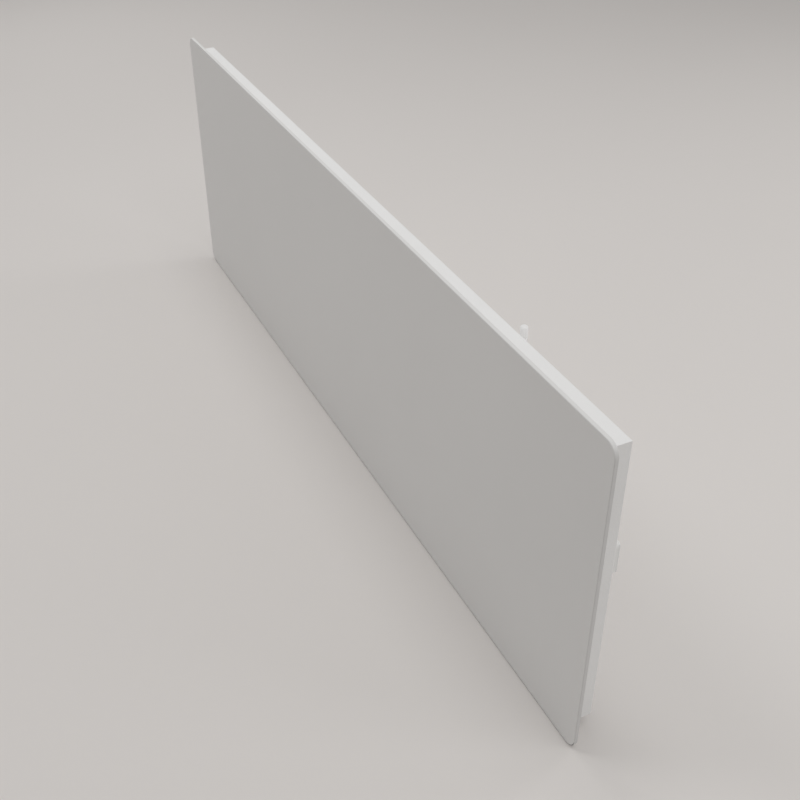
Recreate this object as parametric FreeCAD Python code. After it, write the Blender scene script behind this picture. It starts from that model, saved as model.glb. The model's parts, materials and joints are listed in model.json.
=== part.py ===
import FreeCAD, Part
import math
import os

from FreeCAD import Vector

# Wall-hung infrared panel heater: a white glass front panel, a folded casing behind it,
# a control box with a folding antenna on the casing's back, and a rail on the wall.
# Millimetres. The wall is the plane y = 0, the panel faces -Y, +Z is up,
# x = 0 is the middle of the panel and z = 0 is the row of wall screws.

# Front panel
panel_length = 1200.0
panel_height = 405.0
panel_thickness = 5.0
panel_corner_radius = 15.0
panel_edge_radius = 1.2
panel_top_above_screws = 102.0

# Casing, a tray of folded sheet that is smaller than the panel all round
casing_side_inset = 20.0
casing_top_inset = 17.5
casing_bottom_inset = 21.0
casing_depth = 29.0
casing_sheet = 1.0
casing_bend_radius = 1.5
casing_front_gap = 0.5
wall_gap = 26.0

# Stiffening beads pressed into the casing's back
bead_width = 12.0
bead_rise = 1.5
bead_end_margin = 110.0
bead_above_hangers = 27.0
bead_below_control = 40.0
bead_pitch = 48.0

# Frame of C-profiles inside the casing, glued to the panel
frame_sheet = 1.5
frame_flange = 14.0
frame_clearance = 0.3
bond_thickness = 1.5

# Heating film and its serpentine track
film_thickness = 0.4
film_margin = 4.0
track_thickness = 0.2
track_width = 14.0
track_pitch = 24.0
track_margin = 12.0
track_end_spacing = 20.0
tab_length = 16.0
tab_width = 10.0
tab_thickness = 0.5

# Reflector, insulation and the pocket in both for leads and overheat switches
reflector_thickness = 0.3
insulation_clearance = 0.4
pocket_margin = 12.0

# Overheat switches
cutout_radius = 8.0
cutout_height = 7.0
cutout_gap = 2.0
cutout_from_wire_hole = 26.0
tab_from_cutout = 22.0
blade_length = 6.0
blade_width = 4.0
blade_thickness = 0.8
blade_height = 4.5

# Screws in the casing's back
screw_radius = 2.0
screw_head_radius = 3.8
screw_head_height = 2.2
screw_clearance = 0.1
casing_screws_per_row = 5

# Control box
control_length = 210.0
control_height = 40.0
control_depth = 22.0
control_wall = 2.0
control_corner_radius = 4.0
control_lid = 2.0
control_lid_edge = 0.8
control_lip_depth = 1.2
control_lip_thickness = 1.5
control_lip_clearance = 0.2
control_end_inset = 40.0
control_above_panel_bottom = 200.0
boss_radius = 2.8
boss_inset = 5.5
boss_from_right = 24.0
small_screw_radius = 1.4
small_head_radius = 2.6
small_head_height = 1.6
small_screw_length = 9.0

# Places along the control box: the antenna and gland from its left end, the rest from its right end
antenna_from_left = 28.5
gland_from_left = 50.0
fixing_from_left = 16.0
fixing_from_right = 19.0
fixing_from_wire_hole = 16.0
wire_hole_from_right = 132.0

# Circuit board and what is on it
board_from_wire_hole = 10.0
board_from_right = 32.0
board_thickness = 1.6
board_stand_off = 4.0
board_margin = 5.0
terminal_length = 24.0
terminal_pitch = 8.5
terminal_height = 9.0
terminal_poles = 3
terminal_from_board_end = 2.0
terminal_screw_radius = 2.0
terminal_screw_height = 1.0
relay_length = 19.0
relay_width = 15.0
relay_height = 10.0
supply_length = 26.0
supply_width = 13.0
supply_height = 9.0
capacitor_radius = 4.0
capacitor_height = 10.0
capacitor_edge = 0.8
part_gap = 2.0

# Leads
wire_radius = 1.1
wire_bend_radius = 4.0
wire_mouth_gap = 0.6
wire_hole_radius = 5.0
wire_spread = 3.2
grommet_flange = 1.8
grommet_wall = 0.8
jumper_drop = 8.0

# Earth stud inside the casing
stud_radius = 2.0
stud_length = 12.0
stud_right_of_wire_hole = 20.0
stud_below_wire_hole = 22.0
nut_flats = 7.0
nut_height = 3.2
lug_radius = 4.0
lug_thickness = 0.8

# Mains switch on the right end of the control box
switch_above_bottom = 12.0
switch_bezel_height = 15.0
switch_bezel_width = 11.0
switch_bezel_rise = 1.2
switch_bezel_radius = 1.5
switch_body_height = 13.2
switch_body_width = 9.0
switch_body_depth = 12.0
switch_cavity_height = 11.8
switch_cavity_width = 7.4
switch_cavity_depth = 6.0
switch_lead_spacing = 4.0
rocker_width = 6.8
rocker_half_length = 5.1
rocker_rise = 2.6
rocker_dish = 1.0
rocker_depth = 2.2
rocker_taper = 0.8
rocker_pivot_inset = 0.6
rocker_pivot_radius = 0.9
rocker_pivot_clearance = 0.1
rocker_side_gap = 0.2
rocker_tilt = 9.0

# Pairing button and status light, above the switch
button_above_bottom = 28.0
button_radius = 3.1
button_clearance = 0.1
button_rise = 0.8
button_flange_radius = 4.0
button_flange_thickness = 1.0
button_flange_gap = 0.4
button_stem_radius = 1.6
button_nose_radius = 1.2
button_nose_depth = 2.0
button_nose_length = 5.0
button_switch_size = 6.0
button_hole_clearance = 0.3
light_above_bottom = 21.8
light_radius = 1.4
light_rise = 0.4
light_block = 4.0

# Cable gland, pointing down
gland_thread_radius = 5.9
gland_flats = 15.0
gland_flange_height = 5.0
gland_collet_height = 6.0
gland_stem_length = 6.5
gland_bore_radius = 4.2
gland_seal_radius = 5.0
gland_seal_length = 7.0
gland_seal_bore_radius = 3.3
gland_nut_height = 12.0
gland_nut_radius = 8.0
gland_nut_mouth_radius = 4.0
gland_nut_floor = 2.5
gland_nut_edge = 2.0
gland_nut_gap = 0.3
gland_locknut_height = 4.0
gland_thread_clearance = 0.15

# Antenna on the top of the control box
antenna_radius = 4.2
antenna_reach = 135.0
antenna_tip_edge = 2.5
antenna_pivot_height = 14.0
antenna_collar_radius = 4.8
antenna_collar_length = 9.0
antenna_shoulder = 5.4
antenna_tongue = 4.4
antenna_tongue_clearance = 0.15
antenna_ear = 2.2
antenna_ear_radius = 4.0
antenna_base_radius = 6.2
antenna_base_height = 8.0
antenna_base_edge = 0.8
antenna_pin_radius = 1.0
antenna_pin_clearance = 0.06
antenna_neck_radius = 3.2
antenna_neck_length = 7.0
antenna_nut_flats = 9.0
antenna_nut_height = 3.0

# Wall rail
rail_sheet = 2.0
rail_bend_radius = 1.0
rail_flange_below = 14.0
rail_shelf_above = 15.0
rail_reach = 12.0
rail_lip = 14.0
slot_length = 14.0
slot_width = 6.0
slot_outer_spacing = 600.0
slot_inner_spacing = 200.0
rail_beyond_slots = 40.0

# Hangers on the casing
hanger_spacing = 560.0
hanger_width = 60.0
hanger_sheet = 2.0
hanger_bend_radius = 1.0
hanger_leg = 12.0
hanger_leg_clearance = 1.0
hanger_base = 51.0
hanger_corner_radius = 6.0
rivet_radius = 2.4
rivet_head_radius = 4.2
rivet_head_height = 1.6
rivet_spacing_x = 36.0
rivet_spacing_z = 24.0
rivet_above_hanger_bottom = 12.0

# Wall buffers near the lower edge
buffer_from_casing_end = 150.0
buffer_above_casing_bottom = 42.0
buffer_base_radius = 17.0
buffer_tip_radius = 13.0
buffer_recess_radius = 6.0
buffer_floor = 6.0
buffer_edge = 1.5

# Planes in depth that the sizes above lead to
casing_back_y = -wall_gap
casing_inner_y = casing_back_y - casing_sheet
panel_back_y = casing_back_y - casing_depth
panel_front_y = panel_back_y - panel_thickness
casing_front_y = panel_back_y + casing_front_gap
film_back_y = panel_back_y + film_thickness
track_back_y = film_back_y + track_thickness
tab_back_y = track_back_y + tab_thickness
frame_front_y = panel_back_y + bond_thickness
reflector_front_y = frame_front_y + frame_sheet
insulation_front_y = reflector_front_y + reflector_thickness
insulation_back_y = casing_inner_y - frame_sheet - insulation_clearance

# Edges of the panel, casing, frame and film
panel_half = panel_length / 2
panel_top_z = panel_top_above_screws
panel_bottom_z = panel_top_z - panel_height
casing_half = panel_half - casing_side_inset
casing_top_z = panel_top_z - casing_top_inset
casing_bottom_z = panel_bottom_z + casing_bottom_inset
frame_half = casing_half - casing_sheet - frame_clearance
frame_top_z = casing_top_z - casing_sheet - frame_clearance
frame_bottom_z = casing_bottom_z + casing_sheet + frame_clearance
film_half = frame_half - frame_flange - film_margin
film_top_z = frame_top_z - frame_flange - film_margin
film_bottom_z = frame_bottom_z + frame_flange + film_margin

# Edges of the control box, outside and inside
control_right_x = panel_half - control_end_inset
control_left_x = control_right_x - control_length
control_bottom_z = panel_bottom_z + control_above_panel_bottom
control_top_z = control_bottom_z + control_height
control_mid_z = (control_bottom_z + control_top_z) / 2
control_back_y = casing_back_y + control_depth
control_rim_y = control_back_y - control_lid
control_floor_y = casing_back_y + control_wall
control_mid_y = (casing_back_y + control_back_y) / 2
inner_left_x = control_left_x + control_wall
inner_right_x = control_right_x - control_wall
inner_bottom_z = control_bottom_z + control_wall
inner_top_z = control_top_z - control_wall

# Centres of what sits in and on the control box
antenna_x = control_left_x + antenna_from_left
gland_x = control_left_x + gland_from_left
wire_hole_x = control_right_x - wire_hole_from_right
wire_hole_z = control_mid_z
board_left_x = wire_hole_x + board_from_wire_hole
board_right_x = control_right_x - board_from_right
board_bottom_z = inner_bottom_z + board_margin
board_top_z = inner_top_z - board_margin
board_front_y = control_floor_y + board_stand_off
board_back_y = board_front_y + board_thickness
terminal_left_x = board_left_x + terminal_from_board_end
switch_z = control_bottom_z + switch_above_bottom
button_z = control_bottom_z + button_above_bottom
light_z = control_bottom_z + light_above_bottom

# Overheat switches, ends of the track, earth stud and the pocket round them all
cutout_reach = cutout_radius + blade_length
first_cutout_x = wire_hole_x + cutout_from_wire_hole
second_cutout_x = first_cutout_x + 2 * cutout_reach + cutout_gap
tab_left_x = second_cutout_x + cutout_reach + tab_from_cutout
upper_end_z = wire_hole_z + track_end_spacing / 2
lower_end_z = wire_hole_z - track_end_spacing / 2
stud_x = wire_hole_x + stud_right_of_wire_hole
stud_z = wire_hole_z - stud_below_wire_hole
pocket_left_x = wire_hole_x - wire_hole_radius - grommet_flange - pocket_margin
pocket_right_x = tab_left_x + tab_length + pocket_margin
pocket_bottom_z = stud_z - lug_radius - pocket_margin
pocket_top_z = upper_end_z + cutout_radius + pocket_margin

# Edges of the rail and the hangers
rail_half = slot_outer_spacing / 2 + rail_beyond_slots
rail_lip_top_z = rail_shelf_above + rail_lip
leg_front_y = rail_sheet - rail_reach + hanger_leg_clearance
leg_back_y = leg_front_y + hanger_sheet
bridge_top_z = rail_lip_top_z + hanger_sheet
hanger_bottom_z = rail_lip_top_z - hanger_base
buffer_z = casing_bottom_z + buffer_above_casing_bottom

X = Vector(1, 0, 0)
Y = Vector(0, 1, 0)
Z = Vector(0, 0, 1)
SIDES = (-1, 1)


def block(x0, x1, y0, y1, z0, z1):
    """Box between two corners."""
    return Part.makeBox(x1 - x0, y1 - y0, z1 - z0, Vector(x0, y0, z0))


def rod(radius, start, end):
    """Round bar between two points."""
    line = end - start
    return Part.makeCylinder(radius, line.Length, start, line)


def rounded_wire(corners, to_point):
    """Closed outline through (u, v, corner radius), with an arc at each rounded corner."""
    edges = []
    ends = []
    count = len(corners)
    for i in range(count):
        u, v, radius = corners[i]
        corner = to_point(u, v)
        back = (to_point(*corners[i - 1][:2]) - corner).normalize()
        ahead = (to_point(*corners[(i + 1) % count][:2]) - corner).normalize()
        if radius <= 0:
            ends.append((corner, corner))
            continue
        start, middle, end = corner_arc(corner, back, ahead, radius)
        edges.append(Part.Arc(start, middle, end).toShape())
        ends.append((start, end))
    for i in range(count):
        start = ends[i][1]
        end = ends[(i + 1) % count][0]
        edges.append(Part.LineSegment(start, end).toShape())
    return Part.Wire(Part.__sortEdges__(edges))


def corner_arc(corner, back, ahead, radius):
    """Start, middle and end of the arc that rounds a corner between two directions."""
    half_angle = back.getAngle(ahead) / 2
    setback = radius / math.tan(half_angle)
    depth = radius / math.sin(half_angle) - radius
    return corner + back * setback, corner + (back + ahead).normalize() * depth, corner + ahead * setback


def prism_x(corners, x0, x1):
    """Outline of (y, z, radius) corners, extruded from x0 to x1."""
    wire = rounded_wire(corners, lambda u, v: Vector(x0, u, v))
    return Part.Face(wire).extrude(X * (x1 - x0))


def prism_y(corners, y0, y1):
    """Outline of (x, z, radius) corners, extruded from y0 to y1."""
    wire = rounded_wire(corners, lambda u, v: Vector(u, y0, v))
    return Part.Face(wire).extrude(Y * (y1 - y0))


def rounded_plate(x0, x1, z0, z1, radius, y0, y1):
    """Plate that stands in the XZ plane, with four round corners."""
    return prism_y([(x0, z0, radius), (x1, z0, radius), (x1, z1, radius), (x0, z1, radius)], y0, y1)


def obround(centre_x, centre_z, length, width, y0, y1):
    """Slot shape with its length along X."""
    half = (length - width) / 2
    middle = block(centre_x - half, centre_x + half, y0, y1, centre_z - width / 2, centre_z + width / 2)
    ends = holes_along_y([(centre_x + side * half, centre_z) for side in SIDES], width / 2, y0, y1)
    return middle.multiFuse(ends).removeSplitter()


def hexagon(flats, start, end):
    """Hexagonal bar between two points, with two of its corners along X."""
    radius = flats / math.sqrt(3)
    across = Y if abs((end - start).z) > 0 else Z
    points = [start + X * (radius * math.cos(math.pi * i / 3)) + across * (radius * math.sin(math.pi * i / 3))
              for i in range(7)]
    return Part.Face(Part.makePolygon(points)).extrude(end - start)


def revolve_z(profile, x, y):
    """Solid turned about the vertical line at x, y from (radius, z) points."""
    points = [Vector(x + radius, y, z) for radius, z in profile]
    face = Part.Face(Part.makePolygon(points + points[:1]))
    return face.revolve(Vector(x, y, 0), Z, 360)


def holes_along_y(points, radius, y0, y1):
    """Round bars along Y at (x, z) points."""
    return [rod(radius, Vector(x, y0, z), Vector(x, y1, z)) for x, z in points]


def edges_in_plane_y(shape, y):
    """Edges whose whole length lies in the plane y."""
    return [edge for edge in shape.Edges
            if abs(edge.BoundBox.YMin - y) < 1e-6 and abs(edge.BoundBox.YMax - y) < 1e-6]


def edges_in_plane_z(shape, z):
    """Edges whose whole length lies in the plane z."""
    return [edge for edge in shape.Edges
            if abs(edge.BoundBox.ZMin - z) < 1e-6 and abs(edge.BoundBox.ZMax - z) < 1e-6]


def pan_screw(x, y, z, radius, head_radius, head_height, length):
    """Screw with its head on the plane y and its shank towards the panel."""
    head = rod(head_radius, Vector(x, y, z), Vector(x, y + head_height, z))
    head = head.makeChamfer(head_height / 2, edges_in_plane_y(head, y + head_height))
    shank = rod(radius, Vector(x, y - length, z), Vector(x, y, z))
    return head.fuse(shank)


def wire_along(points, bend_radius):
    """Round lead through points, with an arc at each inner one."""
    edges = []
    start = points[0]
    for before, corner, after in zip(points, points[1:], points[2:]):
        back = (before - corner).normalize()
        ahead = (after - corner).normalize()
        arc_start, middle, arc_end = corner_arc(corner, back, ahead, bend_radius)
        edges.append(Part.LineSegment(start, arc_start).toShape())
        edges.append(Part.Arc(arc_start, middle, arc_end).toShape())
        start = arc_end
    edges.append(Part.LineSegment(start, points[-1]).toShape())
    section = Part.Wire(Part.makeCircle(wire_radius, points[0], points[1] - points[0]).Edges)
    return Part.Wire(edges).makePipeShell([section], True, False)


def strip_along(path, width, y, thickness):
    """Flat strip along a path of square turns in the XZ plane."""
    normals = []
    for (x0, z0), (x1, z1) in zip(path, path[1:]):
        length = math.hypot(x1 - x0, z1 - z0)
        normals.append(((z0 - z1) / length, (x1 - x0) / length))
    before = [(0, 0)] + normals
    after = normals + [(0, 0)]
    left, right = ([Vector(x + side * (a[0] + b[0]), y, z + side * (a[1] + b[1]))
                    for (x, z), a, b in zip(path, before, after)] for side in (width / 2, -width / 2))
    outline = left + right[::-1]
    return Part.Face(Part.makePolygon(outline + outline[:1])).extrude(Y * thickness)


def mirror_x(shape):
    """Copy of a shape on the other side of the middle plane."""
    return shape.mirror(Vector(0, 0, 0), X)


def make_front_panel():
    plate = rounded_plate(-panel_half, panel_half, panel_bottom_z, panel_top_z, panel_corner_radius,
                          panel_front_y, panel_back_y)
    rims = edges_in_plane_y(plate, panel_front_y) + edges_in_plane_y(plate, panel_back_y)
    return plate.makeFillet(panel_edge_radius, rims)


def casing_screw_points():
    """Rows of screws along the top and bottom of the casing's back, and one at each end."""
    reach = frame_half - frame_flange / 2
    high = frame_top_z - frame_flange / 2
    low = frame_bottom_z + frame_flange / 2
    pitch = 2 * reach / (casing_screws_per_row - 1)
    rows = [(-reach + i * pitch, z) for i in range(casing_screws_per_row) for z in (high, low)]
    return rows + [(side * reach, (high + low) / 2) for side in SIDES]


def control_fixing_points():
    """Screws that hold the control box on the casing."""
    places = (control_left_x + fixing_from_left, wire_hole_x - fixing_from_wire_hole,
              control_right_x - fixing_from_right)
    return [(x, control_mid_z) for x in places]


def hanger_rivet_points():
    low = hanger_bottom_z + rivet_above_hanger_bottom
    return [(side * hanger_spacing / 2 + end * rivet_spacing_x / 2, low + row * rivet_spacing_z)
            for side in SIDES for end in SIDES for row in (0, 1)]


def buffer_points():
    return [(side * (casing_half - buffer_from_casing_end), buffer_z) for side in SIDES]


def make_rear_casing():
    outer = block(-casing_half, casing_half, casing_front_y, casing_back_y, casing_bottom_z, casing_top_z)
    outer = outer.makeFillet(casing_bend_radius, edges_in_plane_y(outer, casing_back_y))
    inner = block(casing_sheet - casing_half, casing_half - casing_sheet, casing_front_y, casing_inner_y,
                  casing_bottom_z + casing_sheet, casing_top_z - casing_sheet)
    bead_length = 2 * (casing_half - bead_end_margin)
    below = control_bottom_z - bead_below_control
    beads = []
    hollows = []
    for z in (bridge_top_z + bead_above_hangers, below, below - bead_pitch):
        beads.append(obround(0, z, bead_length, bead_width, casing_inner_y, casing_back_y + bead_rise))
        hollows.append(obround(0, z, bead_length - 2 * casing_sheet, bead_width - 2 * casing_sheet,
                               casing_inner_y, casing_inner_y + bead_rise))
    screws = holes_along_y(casing_screw_points() + control_fixing_points() + buffer_points(),
                           screw_radius + screw_clearance, casing_inner_y, casing_back_y)
    rivets = holes_along_y(hanger_rivet_points(), rivet_radius, casing_inner_y, casing_back_y)
    wire_hole = holes_along_y([(wire_hole_x, wire_hole_z)], wire_hole_radius + grommet_wall,
                              casing_inner_y, casing_back_y)
    tray = outer.cut(inner).multiFuse(beads).removeSplitter()
    return tray.cut(hollows + screws + rivets + wire_hole)


def c_profile(length):
    """C-profile from x = 0 to length, with its web on top and its flanges hanging down."""
    t = frame_sheet
    depth = casing_inner_y - frame_front_y
    low = -frame_flange
    corners = [(0, 0), (depth, 0), (depth, low), (depth - t, low),
               (depth - t, -t), (t, -t), (t, low), (0, low)]
    return prism_x([(y, z, 0) for y, z in corners], 0, length)


def make_frame():
    """Top and bottom bars run through, and the left and right bars stand between them."""
    top = c_profile(2 * frame_half)
    top.translate(Vector(-frame_half, frame_front_y, frame_top_z))
    bottom = c_profile(2 * frame_half)
    bottom.rotate(Vector(0, 0, 0), Y, 180)
    bottom.translate(Vector(frame_half, frame_front_y, frame_bottom_z))
    right = c_profile(frame_top_z - frame_bottom_z - 2 * frame_flange)
    right.rotate(Vector(0, 0, 0), Y, 90)
    right.translate(Vector(frame_half, frame_front_y, frame_top_z - frame_flange))
    holes = holes_along_y(casing_screw_points(), screw_radius + screw_clearance,
                          casing_inner_y - frame_sheet, casing_inner_y)
    return [bar.cut(holes) for bar in (top, bottom, mirror_x(right), right)]


def make_bond_bead():
    """Ring of silicone as wide as the frame's flange."""
    outer = block(-frame_half, frame_half, panel_back_y, frame_front_y, frame_bottom_z, frame_top_z)
    half = frame_half - frame_flange
    return outer.cut(block(-half, half, panel_back_y, frame_front_y,
                           frame_bottom_z + frame_flange, frame_top_z - frame_flange))


def make_heating_film():
    return block(-film_half, film_half, panel_back_y, film_back_y, film_bottom_z, film_top_z)


def make_heating_track():
    """One serpentine: out along the lower half, up at the far end, and back along the upper half."""
    reach = film_half - track_margin
    low = film_bottom_z + track_margin
    high = film_top_z - track_margin
    lower_turn = lower_end_z - track_pitch
    upper_turn = upper_end_z + track_pitch
    passes = 2 * round(reach / track_pitch) - 1
    pitch = 2 * reach / passes
    path = [(tab_left_x, lower_end_z), (reach, lower_end_z), (reach, low)]
    for i in range(1, passes):
        x = reach - i * pitch
        path += [(x, low), (x, lower_turn)] if i % 2 else [(x, lower_turn), (x, low)]
    path += [(-reach, low), (-reach, high)]
    for i in range(1, passes):
        x = i * pitch - reach
        path += [(x, high), (x, upper_turn)] if i % 2 else [(x, upper_turn), (x, high)]
    path += [(reach, high), (reach, upper_end_z), (tab_left_x, upper_end_z)]
    return strip_along(path, track_width, film_back_y, track_thickness)


def make_track_tabs():
    return Part.makeCompound([block(tab_left_x, tab_left_x + tab_length, track_back_y, tab_back_y,
                                    z - tab_width / 2, z + tab_width / 2)
                              for z in (lower_end_z, upper_end_z)])


def inner_board(y0, y1):
    """Board between the frame's webs, with the pocket for the leads cut through it."""
    gap = frame_sheet + insulation_clearance
    board = block(gap - frame_half, frame_half - gap, y0, y1, frame_bottom_z + gap, frame_top_z - gap)
    return board.cut(block(pocket_left_x, pocket_right_x, y0, y1, pocket_bottom_z, pocket_top_z))


def make_thermal_cutouts():
    """Overheat switches on the film, in line with the upper end of the track."""
    solids = []
    blade_y = film_back_y + blade_height
    for x in (first_cutout_x, second_cutout_x):
        can = rod(cutout_radius, Vector(x, film_back_y, upper_end_z),
                  Vector(x, film_back_y + cutout_height, upper_end_z))
        blade = block(x - cutout_reach, x + cutout_reach, blade_y, blade_y + blade_thickness,
                      upper_end_z - blade_width / 2, upper_end_z + blade_width / 2)
        solids.append(can.fuse(blade).removeSplitter())
    return Part.makeCompound(solids)


def make_cutout_jumpers():
    """Leads from the first overheat switch to the second, and on to the upper tab."""
    y = film_back_y + blade_height + blade_thickness + wire_radius
    tab_y = tab_back_y + wire_radius
    grip = cutout_reach - blade_length / 2
    between = rod(wire_radius, Vector(first_cutout_x + grip, y, upper_end_z),
                  Vector(second_cutout_x - grip, y, upper_end_z))
    onward = wire_along([Vector(second_cutout_x + grip, y, upper_end_z),
                         Vector(tab_left_x - jumper_drop, y, upper_end_z),
                         Vector(tab_left_x, tab_y, upper_end_z),
                         Vector(tab_left_x + tab_length / 2, tab_y, upper_end_z)], wire_bend_radius)
    return Part.makeCompound([between, onward])


def make_leads():
    """Line, earth and neutral leads, each from the terminal block through the wire hole."""
    blade_y = film_back_y + blade_height + blade_thickness + wire_radius
    blade_tip = Vector(first_cutout_x - cutout_reach + blade_length / 2, blade_y, upper_end_z)
    tab_top = Vector(tab_left_x + tab_length / 2, tab_back_y + wire_radius, lower_end_z)
    stud = stud_foot()
    towards_hole = Vector(wire_hole_x - stud.x, 0, wire_hole_z - stud.z).normalize()
    lug_y = stud.y - nut_height - lug_thickness / 2
    lug_edge = Vector(stud.x, lug_y, stud.z) + towards_hole * lug_radius
    mouth_y = board_back_y + terminal_height / 2
    leads = []
    for pole, angle, end in ((1, 90, blade_tip), (0, -30, lug_edge), (-1, 210, tab_top)):
        lane_x = wire_hole_x + wire_spread * math.cos(math.radians(angle))
        lane_z = wire_hole_z + wire_spread * math.sin(math.radians(angle))
        mouth = Vector(terminal_left_x - wire_mouth_gap, mouth_y, control_mid_z + pole * terminal_pitch)
        route = [mouth, Vector(lane_x, mouth_y, lane_z), Vector(lane_x, end.y, lane_z), end]
        leads.append(wire_along(route, wire_bend_radius))
    line, earth, neutral = leads
    lug_start = Vector(stud.x, stud.y - nut_height - lug_thickness, stud.z)
    lug = rod(lug_radius, lug_start, lug_start + Y * lug_thickness)
    lug = lug.cut(rod(stud_radius + screw_clearance, lug_start, lug_start + Y * lug_thickness))
    return line, earth.fuse(lug), neutral


def stud_foot():
    """Foot of the earth stud on the casing's inner face."""
    return Vector(stud_x, casing_inner_y, stud_z)


def make_earth_stud():
    foot = stud_foot()
    return rod(stud_radius, foot, foot - Y * stud_length)


def make_earth_nuts():
    """One nut on the casing and one over the lug, with the lug between them."""
    foot = stud_foot()
    nuts = []
    for start in (foot, foot - Y * (nut_height + lug_thickness)):
        nut = hexagon(nut_flats, start, start - Y * nut_height)
        nuts.append(nut.cut(rod(stud_radius, start, start - Y * nut_height)))
    return Part.makeCompound(nuts)


def make_wire_grommet():
    start = casing_inner_y - grommet_wall
    end = control_floor_y + grommet_wall
    centre = [(wire_hole_x, wire_hole_z)]
    neck = holes_along_y(centre, wire_hole_radius + grommet_wall, start, end)[0]
    flanges = [holes_along_y(centre, wire_hole_radius + grommet_flange, y0, y1)[0]
               for y0, y1 in ((start, casing_inner_y), (control_floor_y, end))]
    return neck.multiFuse(flanges).cut(holes_along_y(centre, wire_hole_radius, start, end)).removeSplitter()


def make_casing_screws():
    length = casing_sheet + frame_sheet + insulation_clearance / 2
    return Part.makeCompound([pan_screw(x, casing_back_y, z, screw_radius, screw_head_radius,
                                        screw_head_height, length)
                              for x, z in casing_screw_points()])


def boss_points():
    return [(x, z) for x in (control_left_x + boss_inset, control_right_x - boss_from_right)
            for z in (control_bottom_z + boss_inset, control_top_z - boss_inset)]


def make_control_base():
    """Tray with its floor on the casing, and holes for what passes through its walls."""
    outer = rounded_plate(control_left_x, control_right_x, control_bottom_z, control_top_z,
                          control_corner_radius, casing_back_y, control_rim_y)
    inner = rounded_plate(inner_left_x, inner_right_x, inner_bottom_z, inner_top_z,
                          control_corner_radius - control_wall, control_floor_y, control_rim_y)
    bosses = holes_along_y(boss_points(), boss_radius, casing_back_y, control_rim_y)
    posts = holes_along_y(board_post_points(), boss_radius, casing_back_y, board_front_y)
    tray = outer.cut(inner).multiFuse(bosses + posts).removeSplitter()
    cuts = holes_along_y(boss_points(), small_screw_radius,
                         control_rim_y - small_screw_length + control_lid, control_rim_y)
    cuts += holes_along_y(control_fixing_points(), screw_radius + screw_clearance,
                          casing_back_y, control_floor_y)
    cuts += holes_along_y([(wire_hole_x, wire_hole_z)], wire_hole_radius + grommet_wall,
                          casing_back_y, control_floor_y)
    cuts.append(rod(gland_thread_radius + gland_thread_clearance,
                    Vector(gland_x, control_mid_y, control_bottom_z),
                    Vector(gland_x, control_mid_y, inner_bottom_z)))
    cuts.append(rod(antenna_neck_radius + gland_thread_clearance,
                    Vector(antenna_x, control_mid_y, inner_top_z),
                    Vector(antenna_x, control_mid_y, control_top_z)))
    cuts.append(block(inner_right_x, control_right_x,
                      control_mid_y - switch_body_width / 2, control_mid_y + switch_body_width / 2,
                      switch_z - switch_body_height / 2, switch_z + switch_body_height / 2))
    for z, radius in ((button_z, button_radius + button_clearance), (light_z, light_radius)):
        cuts.append(rod(radius, Vector(inner_right_x, control_mid_y, z),
                        Vector(control_right_x, control_mid_y, z)))
    return tray.cut(cuts)


def make_control_cover():
    """Lid with a lip that drops inside the base."""
    lid = rounded_plate(control_left_x, control_right_x, control_bottom_z, control_top_z,
                        control_corner_radius, control_rim_y, control_back_y)
    lid = lid.makeFillet(control_lid_edge, edges_in_plane_y(lid, control_back_y))
    start = control_rim_y - control_lip_depth
    rings = []
    for inset in (control_lip_clearance, control_lip_clearance + control_lip_thickness):
        rings.append(block(inner_left_x + inset, inner_right_x - inset, start, control_rim_y,
                           inner_bottom_z + inset, inner_top_z - inset))
    corner_gaps = holes_along_y(boss_points(), boss_radius + control_lip_clearance, start, control_rim_y)
    corner_size = control_corner_radius
    corners = [block(x - corner_size, x + corner_size, start, control_rim_y, z - corner_size, z + corner_size)
               for x in (inner_left_x, inner_right_x) for z in (inner_bottom_z, inner_top_z)]
    lip = rings[0].cut([rings[1]] + corner_gaps + corners)
    screw_holes = holes_along_y(boss_points(), small_screw_radius + screw_clearance,
                                control_rim_y, control_back_y)
    return lid.cut(screw_holes).fuse(lip)


def make_cover_screws():
    return Part.makeCompound([pan_screw(x, control_back_y, z, small_screw_radius, small_head_radius,
                                        small_head_height, small_screw_length)
                              for x, z in boss_points()])


def make_control_screws():
    length = control_wall + casing_sheet + frame_sheet
    return Part.makeCompound([pan_screw(x, control_floor_y, z, screw_radius, screw_head_radius,
                                        small_head_height, length)
                              for x, z in control_fixing_points()])


def board_post_points():
    inset = boss_radius + part_gap
    return [(x, z) for x in (board_left_x + inset, board_right_x - inset)
            for z in (board_bottom_z + inset, board_top_z - inset)]


def make_control_board():
    return block(board_left_x, board_right_x, board_front_y, board_back_y, board_bottom_z, board_top_z)


def make_terminal_block():
    """Block with a wire mouth and a screw well for each pole."""
    height = terminal_poles * terminal_pitch
    body = block(terminal_left_x, terminal_left_x + terminal_length, board_back_y,
                 board_back_y + terminal_height, control_mid_z - height / 2, control_mid_z + height / 2)
    top_y = board_back_y + terminal_height
    wells = holes_along_y(terminal_screw_points(), terminal_screw_radius + screw_clearance,
                          top_y - 2 * terminal_screw_height, top_y)
    return body.cut(wells)


def terminal_screw_points():
    first = control_mid_z - (terminal_poles - 1) * terminal_pitch / 2
    x = terminal_left_x + terminal_length / 2
    return [(x, first + i * terminal_pitch) for i in range(terminal_poles)]


def make_terminal_screws():
    floor_y = board_back_y + terminal_height - 2 * terminal_screw_height
    return Part.makeCompound(holes_along_y(terminal_screw_points(), terminal_screw_radius,
                                           floor_y, floor_y + terminal_screw_height))


def relay_left_x():
    return terminal_left_x + terminal_length + part_gap


def supply_left_x():
    return relay_left_x() + relay_length + part_gap


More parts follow.
